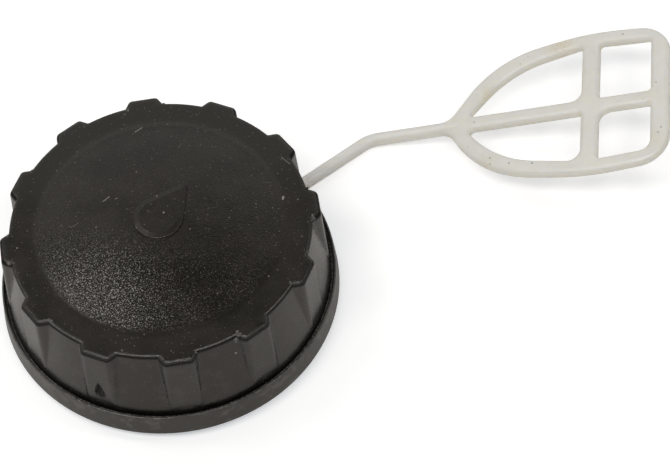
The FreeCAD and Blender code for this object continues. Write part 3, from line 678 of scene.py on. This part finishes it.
rubberFinish = {
    "roughness": 0.62,
    "colours": {
        "dark": (0.012, 0.012, 0.012),
        "pale": (0.030, 0.029, 0.028),
        "oil": (0.020, 0.016, 0.010),
    },
    "fine": (3.0, 3.0, 0.6),
    "rings": {"Scale": 4.0, "Detail": 2.0, "Roughness": 0.6},
    "neckMark": (16.4, 0.55, 0.35),   # radius in mm of the mark of the neck's rim, and its reach
    "oiled": 0.7,
    "depths": {"fine": 0.010, "rings": 0.020, "neckMark": 0.12},     # mm
    "rougher": {"fine": 0.15, "neckMark": -0.22},
}


def gasketRubber(f):
    material, start, place = newMaterial("gasket_rubber")
    colours, depth, rougher = f["colours"], f["depths"], f["rougher"]
    x, y, z = place.split()
    radius = (x * x + y * y) ** 0.5
    fine = place.noise(*f["fine"])
    rings = radius.node("ShaderNodeTexNoise", {"noise_dimensions": "1D"},
                        {"W": radius, **f["rings"]})
    pressed = circleLine(radius, f["neckMark"])
    base = blend(start, fine, colours["dark"], colours["pale"])
    base = base.mixed(pressed * f["oiled"], colours["oil"])
    rough = f["roughness"] + fine * rougher["fine"] + pressed * rougher["neckMark"]
    height = fine * depth["fine"] + rings * depth["rings"] - pressed * depth["neckMark"]
    finish(start, height, {"Base Color": base, "Roughness": rough})
    return material


def dress(node, material):
    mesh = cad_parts[node].data
    mesh.materials.clear()
    mesh.materials.append(material)


capMaterial = blackNylon(capFinish)
dress("cap_shell", capMaterial)
dress("tether", naturalNylon(tetherFinish))
dress("sealing_gasket", gasketRubber(rubberFinish))
print("nodes dressed")


def newTree(name, sizes):
    # a geometry tree with a named input for each size, and those inputs by name
    tree = bpy.data.node_groups.new(name, "GeometryNodeTree")
    tree.interface.new_socket("Geometry", in_out="INPUT", socket_type="NodeSocketGeometry")
    tree.interface.new_socket("Geometry", in_out="OUTPUT", socket_type="NodeSocketGeometry")
    kinds = {int: "NodeSocketInt", float: "NodeSocketFloat"}
    for label, value in sizes.items():
        tree.interface.new_socket(label, in_out="INPUT", socket_type=kinds[type(value)])
    given = Wire(tree).node("NodeGroupInput")
    return tree, {label: given.other(label) for label in ("Geometry", *sizes)}


def closeTree(start, solid, material):
    whole = start.node("GeometryNodeRealizeInstances", None, {"Geometry": solid})
    whole = start.node("GeometryNodeSetShadeSmooth", None, {"Geometry": whole})
    whole = start.node("GeometryNodeSetMaterial", None, {"Geometry": whole, "Material": material})
    start.node("NodeGroupOutput", None, {"Geometry": whole})


def grown(name, tree, sizes, points=()):
    # the tree's result as a plain mesh object
    mesh = bpy.data.meshes.new(name)
    mesh.from_pydata([tuple(v / 1000 for v in point) for point in points], [], [])
    made = bpy.data.objects.new(name, mesh)
    scene.collection.objects.link(made)
    modifier = made.modifiers.new("grow", "NODES")
    modifier.node_group = tree
    for item in tree.interface.items_tree:
        if item.in_out == "INPUT" and item.name in sizes:
            modifier[item.identifier] = sizes[item.name]
    seen = made.evaluated_get(bpy.context.evaluated_depsgraph_get())
    plain = bpy.data.meshes.new_from_object(seen)
    made.modifiers.clear()
    made.data = plain
    plain.name = name
    return made


threadRidge = {                # sizes in m; the ridge winds up inside the wall of the cap
    "Root radius": 0.01845,    # just behind the face of the bore
    "Foot": 0.0017,
    "Rise": 0.0066,
    "Turns": 1.9,
    "Root half": 0.00095,
    "Crest half": 0.00032,
    "Depth": 0.00105,
    "Runout": 0.045,           # share of the length over which each end fades out
    "Thinnest": 0.1,           # share of the section that is left at the ends
    "Steps": 96,               # per turn
}


def makeThread(sizes):
    tree, size = newTree("thread_ridge", sizes)
    start = Wire(tree)
    path = start.node("GeometryNodeCurveSpiral", None, {
        "Resolution": size["Steps"], "Rotations": size["Turns"], "Height": size["Rise"],
        "Start Radius": size["Root radius"], "End Radius": size["Root radius"], "Reverse": True})
    path = start.node("GeometryNodeSetCurveNormal", {"mode": "Z_UP"}, {"Curve": path})
    root, crest, inward = size["Root half"], size["Crest half"], size["Depth"] * -1
    outline = ((0, root), (inward, crest), (inward, crest * -1), (0, root * -1))
    corners = {"Point %d" % (number + 1): start.node("ShaderNodeCombineXYZ", None, {0: x, 1: y})
               for number, (x, y) in enumerate(outline)}
    section = start.node("GeometryNodeCurvePrimitiveQuadrilateral", {"mode": "POINTS"}, corners)
    along = start.node("GeometryNodeSplineParameter")
    full = (along.atMost(1 - along) / size["Runout"]).atMost(1.0)
    fade = full * (1 - size["Thinnest"]) + size["Thinnest"]
    ridge = start.node("GeometryNodeCurveToMesh", None, {
        "Curve": path, "Profile Curve": section, "Scale": fade, "Fill Caps": True})
    lift = start.node("ShaderNodeCombineXYZ", None, {2: size["Foot"]})
    ridge = start.node("GeometryNodeTransform", None, {"Geometry": ridge, "Translation": lift})
    closeTree(start, ridge, capMaterial)
    return grown("thread_ridge", tree, sizes)


flashBeads = {
    "sizes": {                 # m
        "Smallest": 0.00012,
        "Largest": 0.00030,
        "Wobble": 0.00018,
        "Scatter": 0.00040,
        "Seed": 7,
    },
    "scatterLow": (-1.0, -1.0, -0.3),
    "scatterHigh": (1.0, 1.0, 0.1),
    "bumps": (3200.0, 1.0, 0.5),   # patterns per m, detail and roughness
    "radius": 19.86,           # mm and degrees: two small beads at the corners of each lug
    "height": 14.80,
    "firstLug": 4.1,
    "lugs": 12,
    "corner": 7.0,
    "heap": 3,                 # and so many at each place where big ones are seen
    "seen": (
        (-5.99, -18.75, 14.86),
        (9.20, -17.75, 14.86),
        (-14.76, -13.04, 14.86),
        (-19.95, -3.45, 14.86),
        (19.95, -0.81, 14.86),
        (9.05, -18.25, 14.6),
    ),
    "colours": {
        "plain": (0.045, 0.042, 0.036),
        "whitened": (0.160, 0.153, 0.138),
    },
    "fine": (5.0, 2.0, 0.6),
    "fineCut": (0.42, 0.60),
    "fineDepth": 0.05,         # mm
    "roughness": 0.28,
    "rougher": 0.2,
}


def flashNylon(f):
    # plastic drawn thin and white where the mould leaked
    material, start, place = newMaterial("flash_nylon")
    fine = place.noise(*f["fine"])
    colours = f["colours"]
    base = blend(start, fine.ramp(*f["fineCut"]), colours["plain"], colours["whitened"])
    rough = f["roughness"] + fine * f["rougher"]
    finish(start, fine * f["fineDepth"], {"Base Color": base, "Roughness": rough, "IOR": 1.53})
    return material


def beadPlaces(f):
    places = [place for place in f["seen"] for again in range(f["heap"])]
    for lug in range(f["lugs"]):
        for side in (-1, 1):
            turn = math.radians(f["firstLug"] + 360 / f["lugs"] * lug + side * f["corner"])
            places.append((f["radius"] * math.cos(turn), f["radius"] * math.sin(turn), f["height"]))
    return places


def makeBeads(f):
    tree, size = newTree("flash_beads", f["sizes"])
    start = Wire(tree)
    away = start.node("FunctionNodeRandomValue", {"data_type": "FLOAT_VECTOR"}, {
        0: f["scatterLow"], 1: f["scatterHigh"], "Seed": size["Seed"]})
    points = start.node("GeometryNodeSetPosition", None, {
        "Geometry": size["Geometry"], "Offset": away.scaled(size["Scatter"])})
    bead = start.node("GeometryNodeMeshIcoSphere", None, {"Radius": 1.0, "Subdivisions": 3})
    scale = start.node("FunctionNodeRandomValue", {"data_type": "FLOAT"}, {
        2: size["Smallest"], 3: size["Largest"], "Seed": size["Seed"] + 1}, 1)
    beads = start.node("GeometryNodeInstanceOnPoints", None, {
        "Points": points, "Instance": bead, "Scale": scale})
    beads = start.node("GeometryNodeRealizeInstances", None, {"Geometry": beads})
    spot = start.node("GeometryNodeInputPosition")
    bumps = spot.noise(*f["bumps"], output=1).vector("SUBTRACT", (0.5, 0.5, 0.5))
    beads = start.node("GeometryNodeSetPosition", None, {
        "Geometry": beads, "Offset": bumps.scaled(size["Wobble"])})
    closeTree(start, beads, flashNylon(f))
    return grown("flash_beads", tree, f["sizes"], beadPlaces(f))


for piece in (makeThread(threadRidge), makeBeads(flashBeads)):
    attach(piece, "cap")
    reach = [math.hypot(v.co.x, v.co.y) * 1000 for v in piece.data.vertices]
    level = [v.co.z * 1000 for v in piece.data.vertices]
    print("%s: %d faces, radius %.2f to %.2f, height %.2f to %.2f mm" % (
        piece.name, len(piece.data.polygons), min(reach), max(reach), min(level), max(level)))
